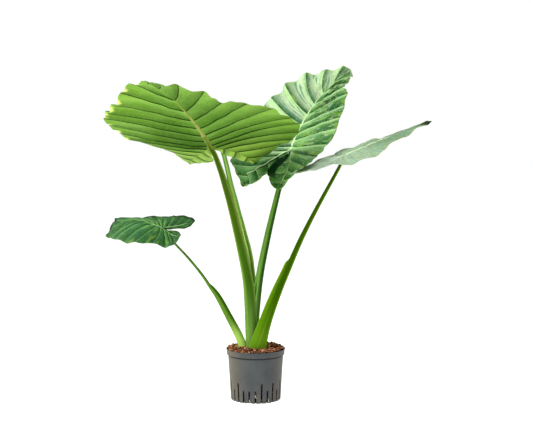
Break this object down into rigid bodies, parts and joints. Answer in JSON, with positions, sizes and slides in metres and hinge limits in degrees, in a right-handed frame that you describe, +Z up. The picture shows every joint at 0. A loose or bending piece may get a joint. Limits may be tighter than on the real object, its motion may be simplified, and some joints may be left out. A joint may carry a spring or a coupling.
{
  "type": "potted giant taro plant",
  "caption": "Young giant taro: arrow-shaped ribbed leaf blades on sheathing stalks, rooted in clay granules in a slotted hydroponic culture pot.",
  "frame": {"origin": "centre of the pot's underside, on the surface that the pot stands on", "axes": "+Z up; the plant's front is seen looking along +Y, with +X to the viewer's right"},
  "size_m": [1.1775, 1.1839, 1.2368],
  "materials": {
    "leaf_upper": "satin living leaf, upper face mid green",
    "leaf_lit": "matt living leaf, underside bright yellow-green",
    "leaf_pale": "satin living leaf, pale grey-green sheen",
    "leaf_dark": "satin living leaf, dark green",
    "stalk": "smooth fleshy stalk, olive to yellow-green",
    "root": "matt tan root",
    "clay": "matt expanded clay, red-brown",
    "pot": "matt moulded plastic, dark grey"
  },
  "bodies": {
    "root": {"blade_upper_right": "leaf_upper", "petiole_upper_right": "stalk", "blade_back": "leaf_upper", "petiole_back": "stalk", "blade_front_left": "leaf_lit", "petiole_front_left": "stalk", "blade_left_small": "leaf_dark", "petiole_left_small": "stalk", "blade_right": "leaf_pale", "petiole_right": "stalk", "rhizome": "root", "clay_granules": "clay", "culture_pot": "pot"}
  },
  "joints": []
}
